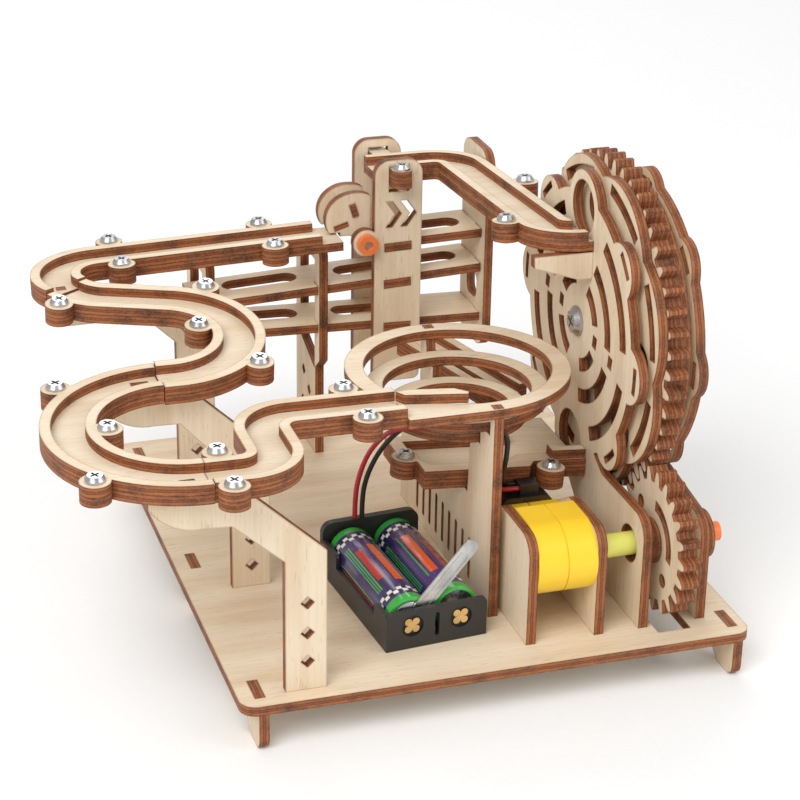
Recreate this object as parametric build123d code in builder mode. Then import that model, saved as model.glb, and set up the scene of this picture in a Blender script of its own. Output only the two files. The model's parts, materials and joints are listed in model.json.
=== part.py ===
from build123d import *
import math
import os

os.makedirs("parts", exist_ok=True)

# ---- driving dimensions, mm ----
# Sizes inside the model are counted from the front left top corner of the
# base plate: X to the right, Y to the back, Z up.
BASE_LEFT = -55.6          # where that corner sits in the shared frame
BASE_FRONT = -87.15
BASE_TOP = 15.0

PLY = 3.0                  # every plywood sheet
GAP = 0.05                 # between sheets that meet edge to edge
BASE_WIDTH = 158.2
BASE_DEPTH = 183.0

TRACK_WIDTH = 16.0
CHANNEL = 9.6              # between the two rails of a track
EAR = 4.4                  # radius of a screw ear
SCREW_HOLE = 1.5
SCREW_SHANK = 1.4
SCREW_HEAD = 2.9

WHEEL_Y = 70.1             # lift wheel axis, along X
WHEEL_Z = 77.4
MODULE = 2.0
WHEEL_TEETH = 51
PINION_TEETH = 21
MESH_DEG = 48.07           # how far the pinion lies below the wheel
CENTRES = MODULE * (WHEEL_TEETH + PINION_TEETH) / 2
PINION_Y = WHEEL_Y - CENTRES * math.cos(math.radians(MESH_DEG))
PINION_Z = WHEEL_Z - CENTRES * math.sin(math.radians(MESH_DEG))
POCKET_RADIUS = 37.1       # where the marbles ride in the wheel
AXLE_RADIUS = 2.0
RUNNING = 0.06             # radial play of everything that turns

GUARD_FRONT_X = 125.5
FLOWER_X = 130.2
GEAR_X = 133.3
WHEEL_BACK_X = 139.4
GUARD_REAR_X = 144.6

FUNNEL_X = 84.5
FUNNEL_Y = 65.0


# ---- planes ----
def level(z):
    """Flat sheets: sketch X, Y are the model's X, Y."""
    return Plane(origin=(BASE_LEFT, BASE_FRONT, BASE_TOP + z), x_dir=(1, 0, 0), z_dir=(0, 0, 1))


def across(y):
    """Upright sheets along X: sketch X, Y are the model's X, Z; -PLY goes back."""
    return Plane(origin=(BASE_LEFT, BASE_FRONT + y, BASE_TOP), x_dir=(1, 0, 0), z_dir=(0, -1, 0))


def along(x):
    """Upright sheets along Y: sketch X, Y are the model's Y, Z; +PLY goes right."""
    return Plane(origin=(BASE_LEFT + x, BASE_FRONT, BASE_TOP), x_dir=(0, 1, 0), z_dir=(1, 0, 0))


def sloped(x, y, z, rise_x, rise_y):
    """Tilted sheets: passes through x, y, z and climbs by the two slopes."""
    right = Vector(1, 0, rise_x).normalized()
    normal = Vector(-rise_x, -rise_y, 1).normalized()
    back = normal.cross(right)
    point = Vector(BASE_LEFT + x, BASE_FRONT + y, BASE_TOP + z)
    return Plane(origin=point - right * x - back * y, x_dir=right, z_dir=normal)


# underside of each track's floor; the rails lie one sheet higher
def floor_a():
    return sloped(-22, 139, 76.0, 0.0284, 0)


def floor_b():
    return sloped(0, 137, 76.0, 0, 0.112)


def floor_c():
    return sloped(-7, 71, 68.6, 0, 0.0297)


def floor_d():
    return sloped(-6, 7, 66.7, -0.0106, 0)


def floor_e():
    return sloped(115, 70, 103.3, 0, -0.0591)


def floor_tray():
    return sloped(70.6, 54, 33.9, -0.075, 0)


def floor_chute():
    return sloped(110, 120, 38.9, 0, 0.05)


def shelf_top_plane():
    return sloped(104, 163, 75.6, 0.03, 0)


def shelf_middle_plane():
    return sloped(101, 163, 62.6, 0.048, 0)


def shelf_bottom_plane():
    return sloped(101, 163, 46.1, -0.027, 0)


def up(plane, amount):
    return plane.offset(amount)


def gear_points(teeth, first_deg):
    """Corner points of a straight-flanked gear with a tooth centred at first_deg."""
    pitch = MODULE * teeth / 2
    shape = [(pitch - 2.4, 1.75), (pitch, 1.38), (pitch + 1.7, 0.68)]
    points = []
    for n in range(teeth):
        middle = math.radians(first_deg + n * 360 / teeth)
        for radius, half in shape:
            turn = middle - half / radius
            points.append((radius * math.cos(turn), radius * math.sin(turn)))
        for radius, half in reversed(shape):
            turn = middle + half / radius
            points.append((radius * math.cos(turn), radius * math.sin(turn)))
    return points


def polar(radius, deg):
    return (radius * math.cos(math.radians(deg)), radius * math.sin(math.radians(deg)))


def moved(points, dx, dy):
    return [(x + dx, y + dy) for x, y in points]


def track_a_line():
    first = Line((65, 154), (-10, 154))
    JernArc(start=first @ 1, tangent=first % 1, radius=15, arc_size=119)


def track_b_line():
    first = JernArc(start=(-23.2, 131.35), tangent=(0.5, -0.866), radius=17, arc_size=42)
    second = Line(first @ 1, (first @ 1) + (first % 1) * 20.9)
    third = JernArc(start=second @ 1, tangent=second % 1, radius=24, arc_size=-162)
    Line(third @ 1, (-6.75, 70.45))


def track_c_line():
    JernArc(start=(-7.05, 70.5), tangent=(-1, 0), radius=32, arc_size=180)


def track_d_line():
    first = Line((-6.95, 6.5), (3.5, 6.5))
    second = JernArc(start=first @ 1, tangent=(1, 0), radius=10.5, arc_size=90)
    third = Line(second @ 1, (14, 29))
    fourth = JernArc(start=third @ 1, tangent=(0, 1), radius=11, arc_size=-90)
    Line(fourth @ 1, (57.9, 40))


def track_e_line():
    first = Line((86, 161.5), (105.2, 161.5))
    second = JernArc(start=first @ 1, tangent=(1, 0), radius=10, arc_size=-90)
    third = Line(second @ 1, (115.2, 77))
    JernArc(start=third @ 1, tangent=(0, -1), radius=8.5, arc_size=90)


# ears that stick out of a track, each with its screw
EARS_A = [(48, 164.9), (48, 143.1), (-3, 164.9), (-3, 143.1)]
EARS_B = [(-27.5, 120.5), (19.4, 122.4), (24, 71.5), (11.5, 97.8)]
EARS_C = [(-37.8, 68.3), (-28.3, 38.5), (-37.5, 8.5)]
EARS_D = [(-2, 17.3), (-2.4, -4.3), (44, 50.8), (45, 29.2)]
EARS_E = [(104.4, 80), (126, 121)]
NECKS_E = [(92.4, 146.9), (92.4, 179.4)]
EARS_TRAY = [(68, 65.5), (111.5, 53)]
EARS_CHUTE = [(120.5, 111)]

# ---- base ----
with BuildPart() as base_plate:
    with BuildSketch(level(-PLY)):
        with Locations((BASE_WIDTH / 2, BASE_DEPTH / 2)):
            RectangleRounded(BASE_WIDTH, BASE_DEPTH, 5)
        with Locations((135.75, 21.75)):
            Rectangle(10.5, 28.5, mode=Mode.SUBTRACT)
        for x in (6.3, 153.7):
            for y in (9.7, 90.7, 173):
                with Locations((x, y)):
                    Rectangle(PLY + 0.1, 10.1, mode=Mode.SUBTRACT)
    extrude(amount=PLY)
base_plate.part.label = "base_plate"
export_step(base_plate.part, "parts/base_plate.step")

with BuildPart() as base_feet:
    for x in (4.8, 152.2):
        for y in (9.7, 90.7, 173):
            with BuildSketch(along(x)):
                with BuildLine():
                    Polyline((y - 5, 0), (y - 5, -PLY - 0.02), (y - 9.6, -PLY - 0.02), (y - 9.6, -11))
                    ThreePointArc((y - 9.6, -11), (y - 8.4, -13.9), (y - 5.6, -15))
                    Polyline((y - 5.6, -15), (y + 1, -15), (y + 9.6, -7.5), (y + 9.6, -PLY - 0.02),
                             (y + 5, -PLY - 0.02), (y + 5, 0), (y - 5, 0))
                make_face()
            extrude(amount=PLY)
base_feet.part.label = "base_feet"
export_step(base_feet.part, "parts/base_feet.step")

# ---- legs under the left tracks ----
with BuildPart() as front_leg:
    with BuildSketch(across(5.5)):
        with BuildLine():
            Polyline((14, 0), (26.2, 0), (26.2, 44.2), (2.2, 66.5), (-10.6, 66.5), (-10.6, 69.6),
                     (-14.7, 69.6), (-14.7, 66.5), (-24, 66.5), (-24, 63.5))
            ThreePointArc((-24, 63.5), (-18, 57.6), (-9, 55.6))
            Polyline((-9, 55.6), (-0.9, 55.2), (14, 42), (14, 0))
        make_face()
        with Locations((20.5, 9.3), (20.5, 18.5), (20.5, 28.2)):
            Rectangle(2.9, 2.9, rotation=45, mode=Mode.SUBTRACT)
    extrude(amount=-PLY)
front_leg.part.label = "front_leg"
export_step(front_leg.part, "parts/front_leg.step")

with BuildPart() as middle_leg:
    with BuildSketch(across(69.5)):
        with BuildLine():
            Polyline((14.2, 0), (26.3, 0), (26.3, 46), (2.5, 68.4), (-10, 68.4), (-10, 71.5),
                     (-15.1, 71.5), (-15.1, 68.4), (-24, 68.4), (-24, 65.5))
            ThreePointArc((-24, 65.5), (-18, 60), (-9, 58.2))
            Polyline((-9, 58.2), (-1.1, 58), (9.4, 46.4), (14.2, 42), (14.2, 0))
        make_face()
        with Locations((20.4, 7.5), (20.4, 16.5), (20.4, 25.5)):
            Rectangle(2.9, 2.9, rotation=45, mode=Mode.SUBTRACT)
    extrude(amount=-PLY)
middle_leg.part.label = "middle_leg"
export_step(middle_leg.part, "parts/middle_leg.step")

with BuildPart() as rear_leg:
    with BuildSketch(across(134)):
        with BuildLine():
            Polyline((12, 0), (24.5, 0), (24.5, 50), (1, 75.6), (-22.8, 75.6), (-22.8, 78.8),
                     (-25.6, 78.8), (-25.6, 75.6), (-28, 75.6), (-28, 70), (-24, 66.5), (2, 66.7),
                     (12, 57), (12, 0))
        make_face()
        with Locations((18.2, 9), (18.2, 18), (18.2, 27)):
            Rectangle(2.9, 2.9, rotation=45, mode=Mode.SUBTRACT)
    extrude(amount=-PLY)
rear_leg.part.label = "rear_leg"
export_step(rear_leg.part, "parts/rear_leg.step")

# ---- two upright frames under the high track; the shelves pass through them ----
with BuildPart() as shelf_frame_right:
    with BuildSketch(along(65.4)):
        with BuildLine():
            Polyline((157, 0), (157, 33), (152, 37), (152, 74))
            ThreePointArc((152, 74), (153.3, 77.1), (156.4, 78.4))
            Polyline((156.4, 78.4), (175, 78.4))
            ThreePointArc((175, 78.4), (179.6, 76.5), (181.5, 71.9))
            Polyline((181.5, 71.9), (181.5, 0), (157, 0))
        make_face()
        with BuildLine():
            Polyline((158, 72), (176, 72), (176, 38), (158, 32), close=True)
        make_face(mode=Mode.SUBTRACT)
        with Locations((172, 26), (165, 21), (173, 14)):
            Rectangle(3, 3, rotation=45, mode=Mode.SUBTRACT)
    extrude(amount=PLY)
shelf_frame_right.part.label = "shelf_frame_right"
export_step(shelf_frame_right.part, "parts/shelf_frame_right.step")

with BuildPart() as shelf_frame_left:
    with BuildSketch(along(26.4)):
        with BuildLine():
            Polyline((157, 0), (157, 33), (152, 37), (152, 73))
            ThreePointArc((152, 73), (153.3, 76), (156.4, 77.3))
            Polyline((156.4, 77.3), (175, 77.3))
            ThreePointArc((175, 77.3), (179.6, 75.4), (181.5, 70.8))
            Polyline((181.5, 70.8), (181.5, 0), (157, 0))
        make_face()
        with BuildLine():
            Polyline((158, 71), (176, 71), (176, 38), (158, 32), close=True)
        make_face(mode=Mode.SUBTRACT)
        with Locations((172, 26), (165, 21), (173, 14)):
            Rectangle(3, 3, rotation=45, mode=Mode.SUBTRACT)
    extrude(amount=PLY)
shelf_frame_left.part.label = "shelf_frame_left"
export_step(shelf_frame_left.part, "parts/shelf_frame_left.step")

# ---- tracks: a floor sheet and a rail sheet each ----
with BuildPart() as track_a_floor:
    with BuildSketch(floor_a()):
        with BuildLine():
            track_a_line()
        trace(line_width=TRACK_WIDTH)
        with Locations((68.5, 154)):
            Rectangle(7.2, TRACK_WIDTH)
        for x, y in EARS_A:
            with Locations((x, y)):
                Circle(EAR)
        with Locations((-24.2, 135.5)):
            Rectangle(3, 3.2, mode=Mode.SUBTRACT)
        with Locations(*EARS_A):
            Circle(SCREW_HOLE, mode=Mode.SUBTRACT)
    extrude(amount=PLY)
track_a_floor.part.label = "track_a_floor"
export_step(track_a_floor.part, "parts/track_a_floor.step")

with BuildPart() as track_a_rails:
    with BuildSketch(up(floor_a(), PLY)):
        with BuildLine():
            track_a_line()
        trace(line_width=TRACK_WIDTH)
        for x, y in EARS_A:
            with Locations((x, y)):
                Circle(EAR)
        with BuildLine():
            track_a_line()
        trace(line_width=CHANNEL, mode=Mode.SUBTRACT)
        with Locations(*EARS_A):
            Circle(SCREW_HOLE, mode=Mode.SUBTRACT)
    extrude(amount=PLY)
track_a_rails.part.label = "track_a_rails"
export_step(track_a_rails.part, "parts/track_a_rails.step")

with BuildPart() as track_b_floor:
    with BuildSketch(floor_b()):
        with BuildLine():
            track_b_line()
        trace(line_width=TRACK_WIDTH)
        for x, y in EARS_B:
            with Locations((x, y)):
                Circle(EAR)
        with Locations(*EARS_B):
            Circle(SCREW_HOLE, mode=Mode.SUBTRACT)
    extrude(amount=PLY)
track_b_floor.part.label = "track_b_floor"
export_step(track_b_floor.part, "parts/track_b_floor.step")

with BuildPart() as track_b_rails:
    with BuildSketch(up(floor_b(), PLY)):
        with BuildLine():
            track_b_line()
        trace(line_width=TRACK_WIDTH)
        for x, y in EARS_B:
            with Locations((x, y)):
                Circle(EAR)
        with BuildLine():
            track_b_line()
        trace(line_width=CHANNEL, mode=Mode.SUBTRACT)
        with Locations(*EARS_B):
            Circle(SCREW_HOLE, mode=Mode.SUBTRACT)
    extrude(amount=PLY)
track_b_rails.part.label = "track_b_rails"
export_step(track_b_rails.part, "parts/track_b_rails.step")

with BuildPart() as track_c_floor:
    with BuildSketch(floor_c()):
        with BuildLine():
            track_c_line()
        trace(line_width=TRACK_WIDTH)
        for x, y in EARS_C:
            with Locations((x, y)):
                Circle(EAR)
        with Locations((-12.55, 71)):
            Rectangle(5.3, 3.2, mode=Mode.SUBTRACT)
        with Locations((-12.65, 7)):
            Rectangle(4.3, 3.2, mode=Mode.SUBTRACT)
        with Locations(*EARS_C):
            Circle(SCREW_HOLE, mode=Mode.SUBTRACT)
    extrude(amount=PLY)
track_c_floor.part.label = "track_c_floor"
export_step(track_c_floor.part, "parts/track_c_floor.step")

with BuildPart() as track_c_rails:
    with BuildSketch(up(floor_c(), PLY)):
        with BuildLine():
            track_c_line()
        trace(line_width=TRACK_WIDTH)
        for x, y in EARS_C:
            with Locations((x, y)):
                Circle(EAR)
        with BuildLine():
            track_c_line()
        trace(line_width=CHANNEL, mode=Mode.SUBTRACT)
        with Locations(*EARS_C):
            Circle(SCREW_HOLE, mode=Mode.SUBTRACT)
    extrude(amount=PLY)
track_c_rails.part.label = "track_c_rails"
export_step(track_c_rails.part, "parts/track_c_rails.step")

with BuildPart() as track_d_floor:
    with BuildSketch(floor_d()):
        with BuildLine():
            track_d_line()
        trace(line_width=TRACK_WIDTH)
        for x, y in EARS_D:
            with Locations((x, y)):
                Circle(EAR)
        with Locations(*EARS_D):
            Circle(SCREW_HOLE, mode=Mode.SUBTRACT)
        with Locations((FUNNEL_X, FUNNEL_Y)):
            Circle(34.7, mode=Mode.SUBTRACT)
    extrude(amount=PLY)
track_d_floor.part.label = "track_d_floor"
export_step(track_d_floor.part, "parts/track_d_floor.step")

with BuildPart() as track_d_rails:
    with BuildSketch(up(floor_d(), PLY)):
        with BuildLine():
            track_d_line()
        trace(line_width=TRACK_WIDTH)
        for x, y in EARS_D:
            with Locations((x, y)):
                Circle(EAR)
        with BuildLine():
            track_d_line()
        trace(line_width=CHANNEL, mode=Mode.SUBTRACT)
        with Locations(*EARS_D):
            Circle(SCREW_HOLE, mode=Mode.SUBTRACT)
    extrude(amount=PLY)
track_d_rails.part.label = "track_d_rails"
export_step(track_d_rails.part, "parts/track_d_rails.step")

with BuildPart() as lift_exit_floor:
    with BuildSketch(floor_e()):
        with BuildLine():
            track_e_line()
        trace(line_width=16.4)
        with Locations((92.4, 163.25)):
            Rectangle(6.6, 32.1)
        for x, y in EARS_E:
            with Locations((x, y)):
                Circle(EAR)
        for x, y in NECKS_E:
            with Locations((x, y)):
                Circle(3.3)
        with Locations((124.3, 68.5)):
            Rectangle(2, 16.4)
        with Locations(*EARS_E, *NECKS_E):
            Circle(SCREW_HOLE, mode=Mode.SUBTRACT)
    extrude(amount=PLY)
lift_exit_floor.part.label = "lift_exit_floor"
export_step(lift_exit_floor.part, "parts/lift_exit_floor.step")

with BuildPart() as lift_exit_rails:
    with BuildSketch(up(floor_e(), PLY)):
        with BuildLine():
            track_e_line()
        trace(line_width=TRACK_WIDTH)
        with Locations((92.4, 163.25)):
            Rectangle(6.6, 32.1)
        for x, y in EARS_E:
            with Locations((x, y)):
                Circle(EAR)
        for x, y in NECKS_E:
            with Locations((x, y)):
                Circle(3.3)
        with BuildLine():
            track_e_line()
        trace(line_width=CHANNEL, mode=Mode.SUBTRACT)
        with Locations((84, 161.5)):
            Rectangle(6, CHANNEL, mode=Mode.SUBTRACT)
        with Locations(*EARS_E, *NECKS_E):
            Circle(SCREW_HOLE, mode=Mode.SUBTRACT)
    extrude(amount=PLY)
lift_exit_rails.part.label = "lift_exit_rails"
export_step(lift_exit_rails.part, "parts/lift_exit_rails.step")

with BuildPart() as exit_bracket:
    with BuildSketch(across(60.5)):
        with BuildLine():
            Polyline((106.4, 103.4), (GUARD_FRONT_X - GAP, 103.4), (GUARD_FRONT_X - GAP, 94.8),
                     (121, 94.8), (106.6, 99.8), close=True)
        make_face()
    extrude(amount=-PLY)
exit_bracket.part.label = "exit_bracket"
export_step(exit_bracket.part, "parts/exit_bracket.step")

# ---- tower of shelves ----
with BuildPart() as tower_front_post:
    with BuildSketch(across(150)):
        with BuildLine():
            Polyline((84, 30), (84, 75.2))
            ThreePointArc((84, 75.2), (80.2, 74.4), (76.6, 79.4))
            ThreePointArc((76.6, 79.4), (79.4, 83.4), (84, 82.6))
            Polyline((84, 82.6), (84, 102.3))
            ThreePointArc((84, 102.3), (85.5, 105.8), (89, 107.3))
            Polyline((89, 107.3), (95.6, 107.3))
            ThreePointArc((95.6, 107.3), (99.1, 105.8), (100.6, 102.3))
            Polyline((100.6, 102.3), (100.6, 30))
            ThreePointArc((100.6, 30), (99.9, 28.4), (98.2, 27.7))
            Polyline((98.2, 27.7), (86.4, 27.7))
            ThreePointArc((86.4, 27.7), (84.7, 28.4), (84, 30))
        make_face()
        with Locations((92.4, 101)):
            Rectangle(7.1, 9.4, mode=Mode.SUBTRACT)
        with Locations((81.2, 79)):
            Circle(1.55, mode=Mode.SUBTRACT)
        for x in (87.9, 93.1):
            with BuildLine():
                Polyline((x, 93), (x + 2.3, 93), (x + 5.6, 88.4), (x + 2.3, 83.8), (x, 83.8),
                         (x + 3.3, 88.4), close=True)
            make_face(mode=Mode.SUBTRACT)
    extrude(amount=-PLY)
    with BuildSketch(up(shelf_top_plane(), -0.03)):
        with Locations((92.4, 151.5)):
            Rectangle(9.6, 4)
    extrude(amount=PLY + 0.06, mode=Mode.SUBTRACT)
    with BuildSketch(up(shelf_middle_plane(), -0.03)):
        with Locations((92.4, 151.5)):
            Rectangle(9.6, 4)
    extrude(amount=PLY + 0.06, mode=Mode.SUBTRACT)
    with BuildSketch(up(shelf_bottom_plane(), -0.03)):
        with Locations((92.4, 151.5)):
            Rectangle(9.6, 4)
    extrude(amount=PLY + 0.06, mode=Mode.SUBTRACT)
tower_front_post.part.label = "tower_front_post"
export_step(tower_front_post.part, "parts/tower_front_post.step")

with BuildPart() as tower_rear_post:
    with BuildSketch(across(174)):
        with BuildLine():
            Polyline((84, 30), (84, 102.3))
            ThreePointArc((84, 102.3), (85.5, 105.8), (89, 107.3))
            Polyline((89, 107.3), (95.6, 107.3))
            ThreePointArc((95.6, 107.3), (99.1, 105.8), (100.6, 102.3))
            Polyline((100.6, 102.3), (100.6, 30))
            ThreePointArc((100.6, 30), (99.9, 28.4), (98.2, 27.7))
            Polyline((98.2, 27.7), (86.4, 27.7))
            ThreePointArc((86.4, 27.7), (84.7, 28.4), (84, 30))
        make_face()
        with Locations((92.4, 99.6)):
            Rectangle(7.1, 9.8, mode=Mode.SUBTRACT)
    extrude(amount=-PLY)
    with BuildSketch(up(shelf_top_plane(), -0.03)):
        with Locations((92.4, 175.5)):
            Rectangle(9.6, 4)
    extrude(amount=PLY + 0.06, mode=Mode.SUBTRACT)
    with BuildSketch(up(shelf_middle_plane(), -0.03)):
        with Locations((92.4, 175.5)):
            Rectangle(9.6, 4)
    extrude(amount=PLY + 0.06, mode=Mode.SUBTRACT)
    with BuildSketch(up(shelf_bottom_plane(), -0.03)):
        with Locations((92.4, 175.5)):
            Rectangle(9.6, 4)
    extrude(amount=PLY + 0.06, mode=Mode.SUBTRACT)
tower_rear_post.part.label = "tower_rear_post"
export_step(tower_rear_post.part, "parts/tower_rear_post.step")

with BuildPart() as tower_side_post:
    with BuildSketch(along(123.5)):
        with Locations((162, 71.5)):
            RectangleRounded(24, 71, 6)
        with Locations((162, 56.5)):
            RectangleRounded(10, 9, 3, mode=Mode.SUBTRACT)
    extrude(amount=PLY)
    with BuildSketch(up(shelf_top_plane(), -0.03)):
        with Locations((125, 163.5)):
            Rectangle(4, 9.2)
    extrude(amount=PLY + 0.06, mode=Mode.SUBTRACT)
    with BuildSketch(up(shelf_middle_plane(), -0.03)):
        with Locations((125, 163.5)):
            Rectangle(4, 9.2)
    extrude(amount=PLY + 0.06, mode=Mode.SUBTRACT)
    with BuildSketch(up(shelf_bottom_plane(), -0.03)):
        with Locations((125, 163.5)):
            Rectangle(4, 9.2)
    extrude(amount=PLY + 0.06, mode=Mode.SUBTRACT)
tower_side_post.part.label = "tower_side_post"
export_step(tower_side_post.part, "parts/tower_side_post.step")

with BuildPart() as shelf_top:
    with BuildSketch(shelf_top_plane()):
        with Locations((104.2, 163.5)):
            Rectangle(38.2, 20.9)
        with Locations((92.4, 163.5)):
            Rectangle(9.4, 26.9)
        with Locations((124.3, 163.5)):
            Rectangle(4.2, 9)
        with Locations((105, 163.5)):
            SlotOverall(27, 9, mode=Mode.SUBTRACT)
    extrude(amount=PLY)
shelf_top.part.label = "shelf_top"
export_step(shelf_top.part, "parts/shelf_top.step")

with BuildPart() as shelf_middle:
    with BuildSketch(shelf_middle_plane()):
        with Locations((73.2, 163.5)):
            Rectangle(100.2, 20.9)
        with Locations((92.4, 163.5)):
            Rectangle(9.4, 26.9)
        with Locations((124.3, 163.5)):
            Rectangle(4.2, 9)
        for x in (27.9, 66.9):
            with Locations((x, 155.4)):
                Rectangle(PLY + 0.2, 5.4, mode=Mode.SUBTRACT)
        with Locations((48, 165.5)):
            SlotOverall(26, 8.6, mode=Mode.SUBTRACT)
        with Locations((96, 164.5)):
            SlotOverall(44, 8.6, mode=Mode.SUBTRACT)
    extrude(amount=PLY)
shelf_middle.part.label = "shelf_middle"
export_step(shelf_middle.part, "parts/shelf_middle.step")

with BuildPart() as shelf_bottom:
    with BuildSketch(shelf_bottom_plane()):
        with Locations((73.2, 163.5)):
            Rectangle(100.2, 20.9)
        with Locations((92.4, 163.5)):
            Rectangle(9.4, 26.9)
        with Locations((124.3, 163.5)):
            Rectangle(4.2, 9)
        for x in (27.9, 66.9):
            with Locations((x, 155.4)):
                Rectangle(PLY + 0.2, 5.4, mode=Mode.SUBTRACT)
        with Locations((48, 165.5)):
            SlotOverall(26, 8.6, mode=Mode.SUBTRACT)
        with Locations((88, 164.5)):
            SlotOverall(30, 8.6, mode=Mode.SUBTRACT)
    extrude(amount=PLY)
shelf_bottom.part.label = "shelf_bottom"
export_step(shelf_bottom.part, "parts/shelf_bottom.step")

# ---- return chute from the tower's foot to the wheel's inlet ----
with BuildPart() as return_chute_floor:
    with BuildSketch(floor_chute()):
        with BuildLine():
            Line((98.2, 146.6), (114.2, 98.8))
        trace(line_width=TRACK_WIDTH)
        with Locations(*EARS_CHUTE):
            Circle(EAR)
        with Locations(*EARS_CHUTE):
            Circle(SCREW_HOLE, mode=Mode.SUBTRACT)
        with Locations((106.5, 121.4)):
            SlotOverall(36, 2.6, rotation=-71.5, mode=Mode.SUBTRACT)
    extrude(amount=PLY)
return_chute_floor.part.label = "return_chute_floor"
export_step(return_chute_floor.part, "parts/return_chute_floor.step")

with BuildPart() as return_chute_rails:
    with BuildSketch(up(floor_chute(), PLY)):
        with BuildLine():
            Line((98.2, 146.6), (114.2, 98.8))
        trace(line_width=TRACK_WIDTH)
        with Locations(*EARS_CHUTE):
            Circle(EAR)
        with BuildLine():
            Line((97.9, 147.5), (114.5, 97.9))
        trace(line_width=CHANNEL, mode=Mode.SUBTRACT)
        with Locations(*EARS_CHUTE):
            Circle(SCREW_HOLE, mode=Mode.SUBTRACT)
    extrude(amount=PLY)
return_chute_rails.part.label = "return_chute_rails"
export_step(return_chute_rails.part, "parts/return_chute_rails.step")

# ---- tipper that sends marbles to one side or the other ----
SLAT_LEAN = 17

with BuildPart() as tipper_plates:
    for y in (153.6, 163):
        with BuildSketch(across(y)):
            with BuildLine():
                ThreePointArc((69.2, 82.3), (68, 87.2), (69.9, 92.2))
                ThreePointArc((69.9, 92.2), (73.9, 95), (79, 95.7))
                ThreePointArc((79, 95.7), (81.4, 95.4), (83.6, 94.4))
                Line((83.6, 94.4), (83.6, 79))
                ThreePointArc((83.6, 79), (81.2, 76.6), (78.8, 79))
                Polyline((78.8, 79), (78.8, 80.9), (73, 80.9), (73, 82.3), (69.2, 82.3))
            make_face()
            with Locations((81.2, 79)):
                Circle(1.5 + RUNNING, mode=Mode.SUBTRACT)
            with Locations((73.4, 84.4)):
                Rectangle(5.1, 1.8, rotation=SLAT_LEAN, mode=Mode.SUBTRACT)
            with Locations((77.8, 89.8)):
                Rectangle(2.1, 4.9, rotation=SLAT_LEAN, mode=Mode.SUBTRACT)
        extrude(amount=-PLY)
tipper_plates.part.label = "tipper_plates"
export_step(tipper_plates.part, "parts/tipper_plates.step")

with BuildPart() as tipper_slats:
    with BuildSketch(across(153.6)):
        with Locations((73.4, 84.4)):
            Rectangle(5, 1.7, rotation=SLAT_LEAN)
    extrude(amount=-12.4)
    with BuildSketch(across(153.1)):
        with Locations((77.8, 89.8)):
            Rectangle(2, 4.8, rotation=SLAT_LEAN)
    extrude(amount=-12.9)
tipper_slats.part.label = "tipper_slats"
export_step(tipper_slats.part, "parts/tipper_slats.step")

with BuildPart() as tipper_pin:
    with BuildSketch(across(148.2)):
        with Locations((81.2, 79)):
            Circle(1.5)
    extrude(amount=-20.4)
tipper_pin.part.label = "tipper_pin"
export_step(tipper_pin.part, "parts/tipper_pin.step")

with BuildPart() as tipper_pin_caps:
    for y in (146.9, 167.4):
        with BuildSketch(across(y)):
            with Locations((81.2, 79)):
                Circle(3.4)
                Circle(1.55, mode=Mode.SUBTRACT)
        extrude(amount=-2.9)
tipper_pin_caps.part.label = "tipper_pin_caps"
export_step(tipper_pin_caps.part, "parts/tipper_pin_caps.step")

# ---- three-ring funnel ----
with BuildPart() as funnel_ring_upper:
    with BuildSketch(level(66)):
        with Locations((FUNNEL_X, FUNNEL_Y)):
            Circle(34.6)
        with BuildLine():
            Polyline((58.05, 30.4), (FUNNEL_X, 30.4), (FUNNEL_X, 48), (58.05, 48), close=True)
        make_face()
        with Locations((FUNNEL_X, FUNNEL_Y)):
            Circle(28.8, mode=Mode.SUBTRACT)
        with Locations((85.7, 32.6), (85.7, 97.4)):
            Rectangle(PLY + 0.1, 3.2, mode=Mode.SUBTRACT)
    extrude(amount=PLY)
funnel_ring_upper.part.label = "funnel_ring_upper"
export_step(funnel_ring_upper.part, "parts/funnel_ring_upper.step")

with BuildPart() as funnel_ring_middle:
    with BuildSketch(level(59.3)):
        with Locations((FUNNEL_X, FUNNEL_Y)):
            Circle(28.1)
            Circle(22.8, mode=Mode.SUBTRACT)
    extrude(amount=PLY)
funnel_ring_middle.part.label = "funnel_ring_middle"
export_step(funnel_ring_middle.part, "parts/funnel_ring_middle.step")

with BuildPart() as funnel_ring_lower:
    with BuildSketch(level(53)):
        with Locations((FUNNEL_X, FUNNEL_Y)):
            Circle(21.6)
            Circle(16.6, mode=Mode.SUBTRACT)
    extrude(amount=PLY)
funnel_ring_lower.part.label = "funnel_ring_lower"
export_step(funnel_ring_lower.part, "parts/funnel_ring_lower.step")

with BuildPart() as funnel_guide:
    with BuildSketch(level(69)):
        with BuildLine():
            Polyline((58.2, 44.7), (60, 41.6), (78.3, 37.6), (79, 39), (75.5, 42.6), (62, 45.2),
                     close=True)
        make_face()
    extrude(amount=PLY)
funnel_guide.part.label = "funnel_guide"
export_step(funnel_guide.part, "parts/funnel_guide.step")

with BuildPart() as funnel_support:
    with BuildSketch(along(84.2)):
        with BuildLine():
            Polyline((30.5, 0), (30.5, 65.95), (31.1, 65.95), (31.1, 69), (34.1, 69),
                     (34.1, 59.25), (42.3, 59.25), (42.3, 52.95), (50.6, 52.95),
                     (52.2, 32.5), (82, 32.5), (82, 52.95), (87.2, 52.95), (87.2, 59.25),
                     (93.2, 59.25), (94.4, 65.95), (95.9, 65.95), (95.9, 69), (98.9, 69),
                     (98.9, 65.95), (99.5, 65.95), (99.5, 42), (117.6, 26), (117.6, 0), close=True)
        make_face()
        for n in range(9):
            with Locations((48.8 + 6.39 * n, 11)):
                SlotOverall(14, 2, rotation=90, mode=Mode.SUBTRACT)
    extrude(amount=PLY)
funnel_support.part.label = "funnel_support"
export_step(funnel_support.part, "parts/funnel_support.step")

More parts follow.
